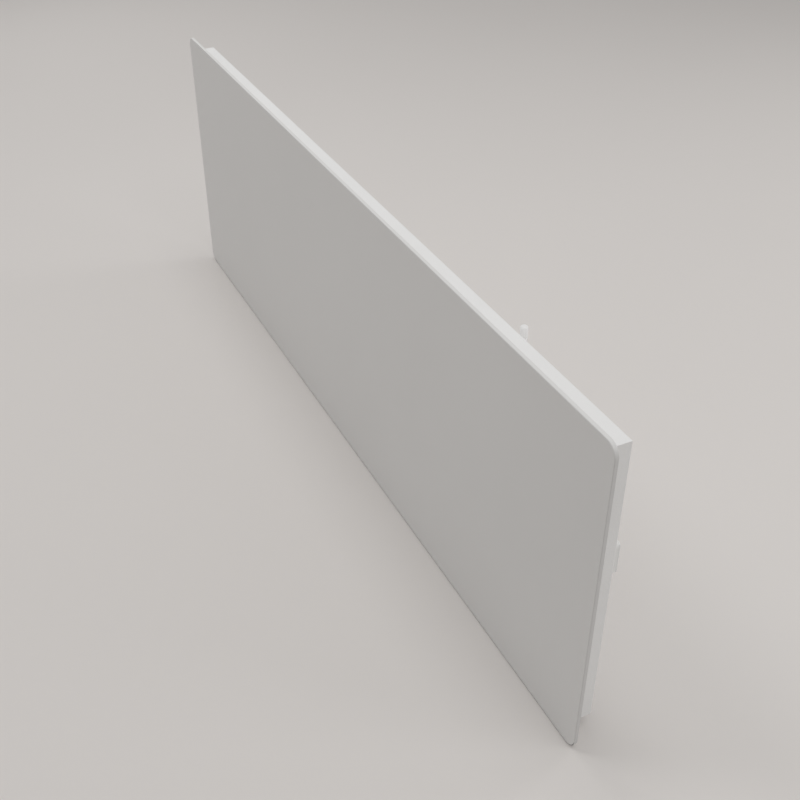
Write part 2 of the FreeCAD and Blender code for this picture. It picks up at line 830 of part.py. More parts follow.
def make_board_relay():
    return block(relay_left_x(), relay_left_x() + relay_length, board_back_y, board_back_y + relay_height,
                 control_mid_z - relay_width / 2, control_mid_z + relay_width / 2)


def make_board_supply():
    low = board_bottom_z + part_gap
    return block(supply_left_x(), supply_left_x() + supply_length, board_back_y,
                 board_back_y + supply_height, low, low + supply_width)


def make_board_capacitor():
    x = supply_left_x() + capacitor_radius + part_gap
    z = board_top_z - capacitor_radius - part_gap
    can = rod(capacitor_radius, Vector(x, board_back_y, z), Vector(x, board_back_y + capacitor_height, z))
    return can.makeChamfer(capacitor_edge, edges_in_plane_y(can, board_back_y + capacitor_height))


def make_board_button_switch():
    """Small switch at the board's end, with a hole for the button's nose."""
    size = button_switch_size
    top_y = control_mid_y + size / 2
    body = block(board_right_x - size, board_right_x, board_back_y, top_y,
                 button_z - size / 2, button_z + size / 2)
    end = Vector(board_right_x, control_mid_y, button_z)
    hole = rod(button_nose_radius + button_hole_clearance, end - X * size, end)
    return body.cut(hole)


def make_board_light():
    half = light_block / 2
    return block(board_right_x - light_block, board_right_x, board_back_y, control_mid_y + half,
                 light_z - half, light_z + half - button_clearance)


def make_status_light():
    """Light guide from the lamp on the board to the end of the box."""
    guide = rod(light_radius, Vector(board_right_x, control_mid_y, light_z),
                Vector(control_right_x + light_rise, control_mid_y, light_z))
    rim = [edge for edge in guide.Edges if abs(edge.BoundBox.XMin - control_right_x - light_rise) < 1e-6]
    return guide.makeChamfer(light_rise / 2, rim)


def make_pairing_button():
    """Turned button: cap in the wall, flange behind it, stem and nose."""
    flange_x = inner_right_x - button_flange_gap
    cap_x = control_right_x + button_rise
    nose_x = board_right_x - button_nose_depth
    stem_x = nose_x + button_nose_length
    at = Vector(0, control_mid_y, button_z)
    cap = rod(button_radius, at + X * (flange_x - button_flange_thickness), at + X * cap_x)
    rim = [edge for edge in cap.Edges if abs(edge.BoundBox.XMin - cap_x) < 1e-6]
    cap = cap.makeChamfer(button_rise / 2, rim)
    flange = rod(button_flange_radius, at + X * (flange_x - button_flange_thickness), at + X * flange_x)
    stem = rod(button_stem_radius, at + X * stem_x, at + X * flange_x)
    nose = rod(button_nose_radius, at + X * nose_x, at + X * flange_x)
    return cap.multiFuse([flange, stem, nose]).removeSplitter()


def rocker_pivot():
    return Vector(control_right_x + switch_bezel_rise - rocker_pivot_inset, control_mid_y, switch_z)


def make_switch_body():
    """Housing that snaps into the end wall, with a bezel outside and a cavity for the rocker."""
    half_y = switch_bezel_width / 2
    half_z = switch_bezel_height / 2
    r = switch_bezel_radius
    front_x = control_right_x + switch_bezel_rise
    bezel = prism_x([(control_mid_y + y * half_y, switch_z + z * half_z, r)
                     for y, z in ((-1, -1), (1, -1), (1, 1), (-1, 1))], control_right_x, front_x)
    body = block(control_right_x - switch_body_depth, control_right_x,
                 control_mid_y - switch_body_width / 2, control_mid_y + switch_body_width / 2,
                 switch_z - switch_body_height / 2, switch_z + switch_body_height / 2)
    cavity = block(front_x - switch_cavity_depth, front_x,
                   control_mid_y - switch_cavity_width / 2, control_mid_y + switch_cavity_width / 2,
                   switch_z - switch_cavity_height / 2, switch_z + switch_cavity_height / 2)
    pivot = rocker_pivot()
    reach = Y * (switch_body_width / 2 - rocker_side_gap)
    pivot_hole = rod(rocker_pivot_radius + rocker_pivot_clearance, pivot - reach, pivot + reach)
    return bezel.fuse(body).removeSplitter().cut([cavity, pivot_hole])


def make_switch_rocker():
    """Paddle with a dished face and two pivot stubs, resting tilted to one side."""
    pivot = rocker_pivot()
    half = rocker_half_length
    profile = [(-rocker_depth, rocker_taper - half), (rocker_rise, -half), (rocker_rise - rocker_dish, 0),
               (rocker_rise, half), (-rocker_depth, half - rocker_taper)]
    points = [pivot + X * out + Z * along - Y * (rocker_width / 2) for out, along in profile]
    paddle = Part.Face(Part.makePolygon(points + points[:1])).extrude(Y * rocker_width)
    reach = Y * (switch_body_width / 2 - 2 * rocker_side_gap)
    paddle = paddle.fuse(rod(rocker_pivot_radius, pivot - reach, pivot + reach)).removeSplitter()
    paddle.rotate(pivot, Y, rocker_tilt)
    return paddle


def make_switch_leads():
    """Two leads from the switch to the board."""
    y = board_back_y + wire_radius
    start = board_right_x - button_switch_size
    end = control_right_x - switch_body_depth
    return Part.makeCompound([rod(wire_radius, Vector(start, y, switch_z + side * switch_lead_spacing / 2),
                                  Vector(end, y, switch_z + side * switch_lead_spacing / 2))
                              for side in SIDES])


def gland_point(below):
    """Point on the gland's axis, a distance below the control box."""
    return Vector(gland_x, control_mid_y, control_bottom_z - below)


def make_gland_body():
    """Hexagon outside the box, threaded stem through its wall, and a cup for the seal."""
    cup_end = gland_flange_height + gland_collet_height
    flange = hexagon(gland_flats, gland_point(0), gland_point(gland_flange_height))
    stem = rod(gland_thread_radius, gland_point(-gland_stem_length), gland_point(cup_end))
    bore = rod(gland_bore_radius, gland_point(-gland_stem_length), gland_point(cup_end))
    cup = rod(gland_seal_radius, gland_point(cup_end - gland_seal_length), gland_point(cup_end))
    return flange.fuse(stem).cut([bore, cup]).removeSplitter()


def make_gland_seal():
    cup_end = gland_flange_height + gland_collet_height
    ends = gland_point(cup_end - gland_seal_length), gland_point(cup_end)
    return rod(gland_seal_radius, *ends).cut(rod(gland_seal_bore_radius, *ends))


def make_gland_nut():
    """Nut with flats and a chamfered end, screwed over the gland's cup."""
    top = gland_point(gland_flange_height + gland_nut_gap)
    low = top - Z * gland_nut_height
    dome = rod(gland_nut_radius, low, top)
    dome = dome.makeChamfer(gland_nut_edge, edges_in_plane_z(dome, low.z))
    thread = rod(gland_thread_radius + gland_thread_clearance, low + Z * gland_nut_floor, top)
    mouth = rod(gland_nut_mouth_radius, low, top)
    return dome.common(hexagon(gland_flats, low, top)).cut([thread, mouth])


def make_gland_locknut():
    start = gland_point(-control_wall)
    end = start + Z * gland_locknut_height
    return hexagon(gland_flats, start, end).cut(rod(gland_thread_radius, start, end))


def antenna_point(above):
    """Point on the antenna's axis, a distance above the control box."""
    return Vector(antenna_x, control_mid_y, control_top_z + above)


def make_antenna_socket():
    """Turned base with a neck through the wall, and two ears that hold the knuckle."""
    base = rod(antenna_base_radius, antenna_point(0), antenna_point(antenna_base_height))
    base = base.makeChamfer(antenna_base_edge, edges_in_plane_z(base, control_top_z + antenna_base_height))
    neck = rod(antenna_neck_radius, antenna_point(-antenna_neck_length), antenna_point(0))
    inner = antenna_tongue / 2 + antenna_tongue_clearance
    pivot = antenna_point(antenna_pivot_height)
    ears = []
    for start in (-inner - antenna_ear, inner):
        y = control_mid_y + start
        ears.append(block(antenna_x - antenna_ear_radius, antenna_x + antenna_ear_radius, y, y + antenna_ear,
                          control_top_z + antenna_base_height - antenna_base_edge, pivot.z))
        ears += holes_along_y([(pivot.x, pivot.z)], antenna_ear_radius, y, y + antenna_ear)
    reach = Y * (inner + antenna_ear)
    pin_hole = rod(antenna_pin_radius, pivot - reach, pivot + reach)
    return base.multiFuse([neck] + ears).removeSplitter().cut(pin_hole)


def make_antenna_pin():
    pivot = antenna_point(antenna_pivot_height)
    reach = Y * (antenna_tongue / 2 + antenna_tongue_clearance + antenna_ear)
    return rod(antenna_pin_radius, pivot - reach, pivot + reach)


def make_antenna_locknut():
    start = antenna_point(-control_wall)
    end = start - Z * antenna_nut_height
    return hexagon(antenna_nut_flats, start, end).cut(rod(antenna_neck_radius, start, end))


def make_antenna_rod():
    """Sleeve with a flat tip and a collar, and a flat tongue between the ears."""
    pivot = antenna_point(antenna_pivot_height)
    shoulder_z = pivot.z + antenna_shoulder
    tip_z = pivot.z + antenna_reach
    collar_z = shoulder_z + antenna_collar_length
    sleeve = rod(antenna_radius, Vector(antenna_x, control_mid_y, shoulder_z),
                 Vector(antenna_x, control_mid_y, tip_z))
    sleeve = sleeve.makeFillet(antenna_tip_edge, edges_in_plane_z(sleeve, tip_z))
    collar_rise = antenna_collar_radius - antenna_radius
    collar = revolve_z([(0, shoulder_z), (antenna_collar_radius, shoulder_z),
                        (antenna_collar_radius, collar_z - collar_rise),
                        (antenna_radius, collar_z), (0, collar_z)],
                       antenna_x, control_mid_y)
    half = antenna_tongue / 2
    root = rod(antenna_radius, pivot - Y * half, pivot + Y * half)
    neck = block(antenna_x - antenna_radius, antenna_x + antenna_radius, control_mid_y - half,
                 control_mid_y + half, pivot.z, shoulder_z)
    pin_hole = rod(antenna_pin_radius + antenna_pin_clearance, pivot - Y * half, pivot + Y * half)
    return sleeve.multiFuse([collar, root, neck]).removeSplitter().cut(pin_hole)


def make_wall_rail():
    """Flange on the wall, shelf and upright lip, folded from one strip, with slotted holes."""
    t = rail_sheet
    inside = rail_bend_radius
    outside = rail_bend_radius + t
    section = [(0, -rail_flange_below, 0), (0, rail_shelf_above, outside),
               (-rail_reach + t, rail_shelf_above, inside), (-rail_reach + t, rail_lip_top_z, 0),
               (-rail_reach, rail_lip_top_z, 0), (-rail_reach, rail_shelf_above - t, outside),
               (-t, rail_shelf_above - t, inside), (-t, -rail_flange_below, 0)]
    rail = prism_x(section, -rail_half, rail_half)
    slots = [obround(side * spacing / 2, 0, slot_length, slot_width, -t, 0)
             for spacing in (slot_outer_spacing, slot_inner_spacing) for side in SIDES]
    return rail.cut(slots)


def make_hanger():
    """Hook folded from one strip: base on the casing, bridge over the rail's lip, leg behind it."""
    t = hanger_sheet
    inside = hanger_bend_radius
    outside = hanger_bend_radius + t
    leg_bottom_z = rail_lip_top_z - hanger_leg
    base_y = casing_back_y
    section = [(base_y, hanger_bottom_z, 0), (base_y, bridge_top_z, outside),
               (leg_back_y, bridge_top_z, outside), (leg_back_y, leg_bottom_z, 0),
               (leg_front_y, leg_bottom_z, 0), (leg_front_y, rail_lip_top_z, inside),
               (base_y + t, rail_lip_top_z, inside), (base_y + t, hanger_bottom_z, 0)]
    centre = hanger_spacing / 2
    left = centre - hanger_width / 2
    right = centre + hanger_width / 2
    hook = prism_x(section, left, right)
    radius = hanger_corner_radius
    outline = prism_y([(left, hanger_bottom_z, radius), (right, hanger_bottom_z, radius),
                       (right, bridge_top_z, 0), (left, bridge_top_z, 0)], base_y, leg_back_y)
    rivets = holes_along_y(hanger_rivet_points(), rivet_radius, base_y, base_y + t)
    return hook.common(outline).cut(rivets)


def make_hanger_rivets():
    """Blind rivets: chamfered head outside, and a shank through hanger and casing."""
    seat = casing_back_y + hanger_sheet
    rivets = []
    for x, z in hanger_rivet_points():
        head = rod(rivet_head_radius, Vector(x, seat, z), Vector(x, seat + rivet_head_height, z))
        head = head.makeChamfer(rivet_head_height / 2, edges_in_plane_y(head, seat + rivet_head_height))
        shank = rod(rivet_radius, Vector(x, casing_inner_y - insulation_clearance, z), Vector(x, seat, z))
        rivets.append(head.fuse(shank))
    return Part.makeCompound(rivets)


def make_wall_buffer(x, z):
    """Tapered rubber foot from the casing to the wall, with a recess for its screw."""
    cone = Part.makeCone(buffer_base_radius, buffer_tip_radius, wall_gap, Vector(x, casing_back_y, z), Y)
    cone = cone.makeChamfer(buffer_edge, edges_in_plane_y(cone, 0))
    floor_y = casing_back_y + buffer_floor
    recess = rod(buffer_recess_radius, Vector(x, floor_y, z), Vector(x, 0, z))
    hole = rod(screw_radius + screw_clearance, Vector(x, casing_back_y, z), Vector(x, floor_y, z))
    return cone.cut([recess, hole])


def make_buffer_screws():
    length = buffer_floor + casing_sheet + insulation_clearance
    return Part.makeCompound([pan_screw(x, casing_back_y + buffer_floor, z, screw_radius, screw_head_radius,
                                        screw_head_height, length)
                              for x, z in buffer_points()])


frame_top, frame_bottom, frame_left, frame_right = make_frame()
line_lead, earth_lead, neutral_lead = make_leads()
hanger_right = make_hanger()
buffer_left, buffer_right = [make_wall_buffer(x, z) for x, z in buffer_points()]

nodes = {
    "front_panel": make_front_panel(),
    "heating_film": make_heating_film(),
    "heating_track": make_heating_track(),
    "track_tabs": make_track_tabs(),
    "thermal_cutouts": make_thermal_cutouts(),
    "cutout_jumpers": make_cutout_jumpers(),
    "bond_bead": make_bond_bead(),
    "reflector_foil": inner_board(reflector_front_y, insulation_front_y),
    "insulation_board": inner_board(insulation_front_y, insulation_back_y),
    "frame_top": frame_top,
    "frame_bottom": frame_bottom,
    "frame_left": frame_left,
    "frame_right": frame_right,
    "rear_casing": make_rear_casing(),
    "casing_screws": make_casing_screws(),
    "earth_stud": make_earth_stud(),
    "earth_nuts": make_earth_nuts(),
    "line_lead": line_lead,
    "neutral_lead": neutral_lead,
    "earth_lead": earth_lead,
    "wire_grommet": make_wire_grommet(),
    "control_base": make_control_base(),
    "control_cover": make_control_cover(),
    "control_screws": make_control_screws(),
    "cover_screws": make_cover_screws(),
    "control_board": make_control_board(),
    "terminal_block": make_terminal_block(),
    "terminal_screws": make_terminal_screws(),
    "board_relay": make_board_relay(),
    "board_supply": make_board_supply(),
    "board_capacitor": make_board_capacitor(),
    "board_button_switch": make_board_button_switch(),
    "board_light": make_board_light(),
    "status_light": make_status_light(),
    "pairing_button": make_pairing_button(),
    "switch_body": make_switch_body(),
    "switch_rocker": make_switch_rocker(),
    "switch_leads": make_switch_leads(),
    "gland_body": make_gland_body(),
    "gland_seal": make_gland_seal(),
    "gland_nut": make_gland_nut(),
    "gland_locknut": make_gland_locknut(),
    "antenna_socket": make_antenna_socket(),
    "antenna_pin": make_antenna_pin(),
    "antenna_locknut": make_antenna_locknut(),
    "antenna_rod": make_antenna_rod(),
    "hanger_left": mirror_x(hanger_right),
    "hanger_right": hanger_right,
    "hanger_rivets": make_hanger_rivets(),
    "wall_buffer_left": buffer_left,
    "wall_buffer_right": buffer_right,
    "buffer_screws": make_buffer_screws(),
    "wall_rail": make_wall_rail(),
}

os.makedirs("parts", exist_ok=True)
for name, shape in nodes.items():
    shape.exportStep("parts/" + name + ".step")
    print(name, len(shape.Solids), "solids", "valid" if shape.isValid() else "INVALID")
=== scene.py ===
import json
import math

import bmesh
import bpy
from mathutils import Matrix, Vector


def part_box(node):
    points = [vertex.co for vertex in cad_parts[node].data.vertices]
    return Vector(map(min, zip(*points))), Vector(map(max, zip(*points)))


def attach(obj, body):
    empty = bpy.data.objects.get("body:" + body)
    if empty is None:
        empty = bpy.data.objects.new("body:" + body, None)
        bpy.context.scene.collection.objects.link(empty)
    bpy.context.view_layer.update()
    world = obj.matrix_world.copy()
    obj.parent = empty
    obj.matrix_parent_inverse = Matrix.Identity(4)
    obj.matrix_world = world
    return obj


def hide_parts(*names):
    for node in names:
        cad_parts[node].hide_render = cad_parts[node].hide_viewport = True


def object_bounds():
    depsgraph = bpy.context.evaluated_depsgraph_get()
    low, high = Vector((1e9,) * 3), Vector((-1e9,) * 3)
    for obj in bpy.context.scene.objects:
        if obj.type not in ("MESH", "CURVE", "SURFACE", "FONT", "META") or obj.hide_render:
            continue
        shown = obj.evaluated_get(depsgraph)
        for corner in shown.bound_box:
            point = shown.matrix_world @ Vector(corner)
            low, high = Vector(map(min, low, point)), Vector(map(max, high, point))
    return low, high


# Looks of the wall-hung infrared panel heater, stood on its lower edge on a pale floor.
# Metres, in the row frame: the wall is y = 0, the panel faces -Y and +Z is up.
# The pieces made here are in millimetres, and all angles are in degrees.

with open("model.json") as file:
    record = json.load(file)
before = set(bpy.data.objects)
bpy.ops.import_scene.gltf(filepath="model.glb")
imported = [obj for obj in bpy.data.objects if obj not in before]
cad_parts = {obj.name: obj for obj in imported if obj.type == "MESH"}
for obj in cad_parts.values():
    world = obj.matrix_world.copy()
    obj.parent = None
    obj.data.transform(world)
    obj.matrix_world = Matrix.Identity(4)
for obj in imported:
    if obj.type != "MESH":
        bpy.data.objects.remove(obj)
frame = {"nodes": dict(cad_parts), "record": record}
cad_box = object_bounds()
scene = bpy.context.scene
scene.view_settings.view_transform = "Standard"

# Camera, at the photograph's viewing angle
CAMERA_PLACE = (1.1773, -0.5416, 0.6782)
CAMERA_YAW = 154.11
CAMERA_PITCH = 35.81
CAMERA_LENS = 50.0
CAMERA_SENSOR = 36.0
CAMERA_CLIP_START = 0.01
CAMERA_CLIP_END = 1000.0

# Stage and light
FLOOR_REACH = 300.0
FLOOR_COLOUR = (0.745, 0.715, 0.692)
WORLD_COLOUR = (1.0, 0.99, 0.98)
WORLD_STRENGTH = 0.43
LAMP_DIAMETER = 1.0
# Name, place, point aimed at, power in watts
LAMPS = [
    ("key_front", (-0.50, -1.20, 2.00), (-0.50, -1.20, -0.30), 9.2),
    ("key_top", (-0.50, 0.00, 2.00), (-0.50, 0.00, -0.30), 6.8),
    ("key_right", (1.30, 0.00, 2.00), (1.30, 0.00, -0.30), 7.5),
    ("back_right", (1.80, 1.60, 0.80), (0.10, 0.00, -0.10), 4.9),
    ("back", (0.00, 2.20, 0.80), (0.10, 0.00, -0.10), 5.4),
    ("left", (-2.40, 0.00, 0.80), (0.10, 0.00, -0.10), 2.7),
]

# Surfaces
PANEL_COLOUR = (0.729, 0.724, 0.715)
# Painted shades of the panel's ground edge against its face: at the sides the edge's own darker tone, on top
# painted light that brings it up to the face's tone as if lit from above, and along the lower arris a painted
# contact shadow
PANEL_EDGE_PAINTED_SHADES = (0.86, 1.0, 0.1)
# Parts of the surface's direction, up or forward, over which one of those painted shades runs into the next
SIDE_TO_TOP = (0.1, 0.7)
EDGE_TO_FACE = (0.75, 0.95)
LEVEL_TO_BELOW = (-0.02, -0.2)
EDGE_TO_ARRIS = (0.4, 0.7)
NOISE_RANGE = (0.3, 0.7)
MOTTLE_DETAIL = 4.0
GRAIN_DETAIL = 2.0
SCATTER_REACH = 0.04
SHEEN_ROUGHNESS = 0.5
BRUSHED = (1, 30, 30)

# Shape of every piece made here
MM = 0.001
TURN_STEPS = 48
ROUND_STEPS = 5
SHARP_ANGLE = 35.0
WELD_DISTANCE = 0.003
LEVEL_TOLERANCE = 0.001

# Screws, with shares of the head's radius or height; the cross also stands out of the head to cut it
SCREW_TURN = 37.0
CASING_HEAD_HEIGHT = 2.2
CASING_SHANK_RADIUS = 2.0
COVER_HEAD_HEIGHT = 1.6
COVER_SHANK_RADIUS = 1.4
HEAD_RIM_SHARE = 0.35
DOME_STEPS = 9
DOME_FULLNESS = 0.6
CROSS_ARM_SHARE = 0.58
CROSS_WIDTH_SHARE = 0.13
CROSS_DEPTH_SHARE = 0.62
CROSS_TAPER = 0.55
CROSS_RISE_SHARE = 0.25

# Rivets, with shares of the head's radius or height
RIVET_HEAD_HEIGHT = 1.6
RIVET_SHANK_RADIUS = 2.4
RIVET_RIM_SHARE = 0.2
RIVET_DOME_ANGLE = 60.0
RIVET_DOME_STEPS = 6
RIVET_PIT_SHARE = 0.30
# Pit and mandrel, from the pit's edge inwards: share of the pit's radius, share of the head's height
RIVET_PIT = [(1.15, 1.0), (1.0, 0.92), (1.0, 0.45), (0.5, 0.40), (0, 0.55)]

# Rubber spacers
BUFFER_TIP_RADIUS = 13.0
BUFFER_RECESS_RADIUS = 6.0
BUFFER_HOLE_RADIUS = 2.3
BUFFER_FLOOR = 6.0
BUFFER_BASE_FILLET = 0.5
BUFFER_TIP_FILLET = 1.5
BUFFER_RECESS_FILLET = 0.6
BUFFER_FLOOR_FILLET = 0.5
GROOVE_HEIGHTS = (6.5, 11.5, 16.5)
GROOVE_DEPTH = 0.7
GROOVE_WIDTH = 1.8
GROOVE_FLOOR_WIDTH = 0.6
GROOVE_EDGE_FILLET = 0.3
GROOVE_FLOOR_FILLET = 0.2

# Lid of the control box
COVER_CORNER_RADIUS = 4.0
COVER_CORNER_STEPS = 8
COVER_EDGE_RADIUS = 0.8
COVER_EDGE_STEPS = 4
COVER_SEAM = 0.45
COVER_SEAM_STEPS = 1

# Rings on the antenna's collar
GRIP_RING_HEIGHTS = (-41.2, -39.2, -37.2)
GRIP_RING_RADIUS = 4.75
GRIP_RING_SIZE = 0.35
GRIP_RING_STEPS = 8


def make_camera():
    yaw = math.radians(CAMERA_YAW)
    pitch = math.radians(CAMERA_PITCH)
    forward = Vector((math.cos(pitch) * math.cos(yaw), math.cos(pitch) * math.sin(yaw), -math.sin(pitch)))
    data = bpy.data.cameras.new("camera")
    data.lens = CAMERA_LENS
    data.sensor_width = CAMERA_SENSOR
    data.clip_start = CAMERA_CLIP_START
    data.clip_end = CAMERA_CLIP_END
    camera = bpy.data.objects.new("camera", data)
    camera.location = CAMERA_PLACE
    camera.rotation_mode = "QUATERNION"
    camera.rotation_quaternion = forward.to_track_quat("-Z", "Y")
    scene.collection.objects.link(camera)
    scene.camera = camera


def make_lights():
    world = bpy.data.worlds.new("studio")
    world.use_nodes = True
    background = world.node_tree.nodes["Background"]
    background.inputs["Color"].default_value = (*WORLD_COLOUR, 1)
    background.inputs["Strength"].default_value = WORLD_STRENGTH
    scene.world = world
    for name, place, aim, power in LAMPS:
        data = bpy.data.lights.new(name, "AREA")
        data.shape = "DISK"
        data.size = LAMP_DIAMETER
        data.energy = power
        lamp = bpy.data.objects.new(name, data)
        lamp.location = place
        lamp.rotation_mode = "QUATERNION"
        lamp.rotation_quaternion = (Vector(aim) - Vector(place)).to_track_quat("-Z", "Y")
        scene.collection.objects.link(lamp)


def make_floor(material):
    level = cad_box[0].z
    corners = [(x * FLOOR_REACH, y * FLOOR_REACH, level) for x, y in ((-1, -1), (1, -1), (1, 1), (-1, 1))]
    mesh = bpy.data.meshes.new("floor")
    mesh.from_pydata(corners, [], [(0, 1, 2, 3)])
    floor = bpy.data.objects.new("floor", mesh)
    floor.data.materials.append(material)
    scene.collection.objects.link(floor)


def noise(tree, place, size, detail):
    """Noise whose clouds are about size metres wide."""
    node = tree.nodes.new("ShaderNodeTexNoise")
    node.inputs["Scale"].default_value = 1 / size
    node.inputs["Detail"].default_value = detail
    tree.links.new(place, node.inputs["Vector"])
    return node.outputs["Fac"]


def spread(tree, value, low, high, across=NOISE_RANGE):
    """Value that runs from low to high as the one given runs across a range."""
    node = tree.nodes.new("ShaderNodeMapRange")
    node.inputs["From Min"].default_value = across[0]
    node.inputs["From Max"].default_value = across[1]
    node.inputs["To Min"].default_value = low
    node.inputs["To Max"].default_value = high
    tree.links.new(value, node.inputs["Value"])
    return node.outputs["Result"]


def mix_colours(tree, factor, first, second):
    """Mix of two colours, each a socket or three numbers."""
    node = tree.nodes.new("ShaderNodeMix")
    node.data_type = "RGBA"
    tree.links.new(factor, node.inputs["Factor"])
    for socket, colour in ((node.inputs["A"], first), (node.inputs["B"], second)):
        if isinstance(colour, tuple):
            socket.default_value = (*colour, 1)
        else:
            tree.links.new(colour, socket)
    return node.outputs["Result"]


def shaded(colour, factor):
    return tuple(min(channel * factor, 1.0) for channel in colour)


def calculate(tree, operation, *values):
    """Result of a sum on one or two sockets."""
    node = tree.nodes.new("ShaderNodeMath")
    node.operation = operation
    for socket, value in zip(node.inputs, values):
        tree.links.new(value, socket)
    return node.outputs["Value"]


def painted_edge_shade(tree, normal, face, colour, painted_shades):
    """Face colour with painted light and shade on the edge of a plate that faces -Y: a darker edge tone at the
    sides, painted lighter where it faces up, and a painted contact shadow on the lower arris.
    """
    side, top, painted_arris_shadow = (shaded(colour, shade) for shade in painted_shades)
    axes = tree.nodes.new("ShaderNodeSeparateXYZ")
    tree.links.new(normal, axes.inputs["Vector"])
    height = axes.outputs["Z"]
    facing = calculate(tree, "ABSOLUTE", axes.outputs["Y"])
    # Painted light: the rim is lighter where it faces up, as if lit from above.
    rim = mix_colours(tree, spread(tree, height, 0, 1, SIDE_TO_TOP), side, top)
    edged = mix_colours(tree, spread(tree, facing, 0, 1, EDGE_TO_FACE), rim, face)
    # Painted contact shadow: the lower front arris is darkened where the edge faces down.
    painted_shadow_mask = calculate(tree, "MULTIPLY", spread(tree, height, 0, 1, LEVEL_TO_BELOW),
                      spread(tree, facing, 0, 1, EDGE_TO_ARRIS))
    return mix_colours(tree, painted_shadow_mask, edged, painted_arris_shadow)


def make_material(name, colour, roughness, metallic=0.0, mottle=0.03, mottle_size=0.06, rough_swing=0.05,
                  grain_size=0.001, grain_height=0.00002, stretch=(1, 1, 1), transmission=0.0,
                  tint=None, scatter=0.0, sheen=0.0, painted_edge_shades=None):
    """Surface with slow shade variation, and a finer grain in roughness and height."""
    material = bpy.data.materials.new(name)
    material.use_nodes = True
    tree = material.node_tree
    shader = tree.nodes["Principled BSDF"]
    shader.inputs["Metallic"].default_value = metallic
    shader.inputs["Transmission Weight"].default_value = transmission
    shader.inputs["Subsurface Weight"].default_value = scatter
    shader.inputs["Subsurface Radius"].default_value = (SCATTER_REACH, SCATTER_REACH, SCATTER_REACH)
    shader.inputs["Subsurface Scale"].default_value = 1.0
    shader.inputs["Sheen Weight"].default_value = sheen
    shader.inputs["Sheen Roughness"].default_value = SHEEN_ROUGHNESS
    coordinates = tree.nodes.new("ShaderNodeTexCoord")
    mapping = tree.nodes.new("ShaderNodeMapping")
    mapping.inputs["Scale"].default_value = stretch
    tree.links.new(coordinates.outputs["Object"], mapping.inputs["Vector"])
    place = mapping.outputs["Vector"]
    base = mix_colours(tree, spread(tree, noise(tree, place, mottle_size, MOTTLE_DETAIL), 0, 1),
                       shaded(colour, 1 - mottle), shaded(tint or colour, 1 + mottle))
    # Painted light and shade on the plate's edge, set by the way its surface faces.
    if painted_edge_shades:
        base = painted_edge_shade(tree, coordinates.outputs["Normal"], base, colour, painted_edge_shades)
    tree.links.new(base, shader.inputs["Base Color"])
    grain = noise(tree, place, grain_size, GRAIN_DETAIL)
    tree.links.new(spread(tree, grain, roughness - rough_swing, roughness + rough_swing),
                   shader.inputs["Roughness"])
    bump = tree.nodes.new("ShaderNodeBump")
    bump.inputs["Distance"].default_value = grain_height
    tree.links.new(grain, bump.inputs["Height"])
    tree.links.new(bump.outputs["Normal"], shader.inputs["Normal"])
    return material


SURFACES = {
    # The panel's edge carries painted light and shade: a lighter top rim and a dark lower arris.
    "glass_white": dict(colour=PANEL_COLOUR, roughness=0.55, mottle=0.012, mottle_size=0.25,
                        painted_edge_shades=PANEL_EDGE_PAINTED_SHADES),
    "casing_white": dict(colour=(0.837, 0.835, 0.830), roughness=0.5, mottle=0.015, mottle_size=0.12,
                         grain_size=0.0016, grain_height=0.00014),
    "zinc_steel": dict(colour=(0.58, 0.60, 0.64), roughness=0.36, metallic=1.0, mottle=0.08, mottle_size=0.03,
                       tint=(0.64, 0.63, 0.59), stretch=BRUSHED, grain_size=0.006, rough_swing=0.08),
    "screw_zinc": dict(colour=(0.66, 0.67, 0.69), roughness=0.28, metallic=1.0, mottle=0.06, mottle_size=0.004),
    "plated_brass": dict(colour=(0.76, 0.60, 0.32), roughness=0.3, metallic=1.0, mottle=0.06),
    "foil_metal": dict(colour=(0.76, 0.76, 0.77), roughness=0.3, metallic=1.0, mottle=0.05),
    "film_amber": dict(colour=(0.55, 0.27, 0.06), roughness=0.35),
    "fibre_board": dict(colour=(0.72, 0.68, 0.58), roughness=0.9, mottle=0.12, mottle_size=0.01,
                        grain_size=0.002, grain_height=0.0006),
    "silicone_grey": dict(colour=(0.55, 0.55, 0.54), roughness=0.5),
    "cutout_black": dict(colour=(0.03, 0.03, 0.032), roughness=0.5),
    "lead_brown": dict(colour=(0.12, 0.045, 0.02), roughness=0.5),
    "lead_blue": dict(colour=(0.02, 0.06, 0.25), roughness=0.5),
    "lead_green": dict(colour=(0.10, 0.30, 0.02), roughness=0.5),
    "rubber_grey": dict(colour=(0.16, 0.16, 0.165), roughness=0.75, mottle=0.08, mottle_size=0.01),
    "box_white": dict(colour=(0.84, 0.84, 0.83), roughness=0.48, mottle=0.012, mottle_size=0.05,
                      grain_size=0.0008, grain_height=0.00008),
    "antenna_white": dict(colour=(0.985, 0.972, 0.980), roughness=0.38, mottle=0.01, mottle_size=0.03,
                          grain_size=0.0006, grain_height=0.00001, scatter=1.0, sheen=1.0),
    "board_green": dict(colour=(0.02, 0.09, 0.035), roughness=0.35),
    "terminal_grey": dict(colour=(0.57, 0.57, 0.55), roughness=0.5),
    "relay_black": dict(colour=(0.02, 0.02, 0.022), roughness=0.45),
    "light_clear": dict(colour=(0.75, 0.80, 0.78), roughness=0.15, transmission=0.5, rough_swing=0.03),
    "button_grey": dict(colour=(0.32, 0.32, 0.33), roughness=0.45),
    "switch_white": dict(colour=(0.84, 0.84, 0.83), roughness=0.3, mottle=0.01, grain_size=0.0005),
    "gland_grey": dict(colour=(0.46, 0.47, 0.47), roughness=0.5),
}
FLOOR_SURFACE = dict(colour=FLOOR_COLOUR, roughness=0.8, mottle=0.008, mottle_size=0.8,
                     grain_size=0.01, grain_height=0.0001)

materials = {slot: make_material(slot, **surface) for slot, surface in SURFACES.items()}


def dress_nodes():
    """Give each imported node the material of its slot."""
    for part in frame["record"]["subparts"]:
        slots = frame["nodes"][part["node"]].data.materials
        slots.clear()
        slots.append(materials[part["material_slot"]])


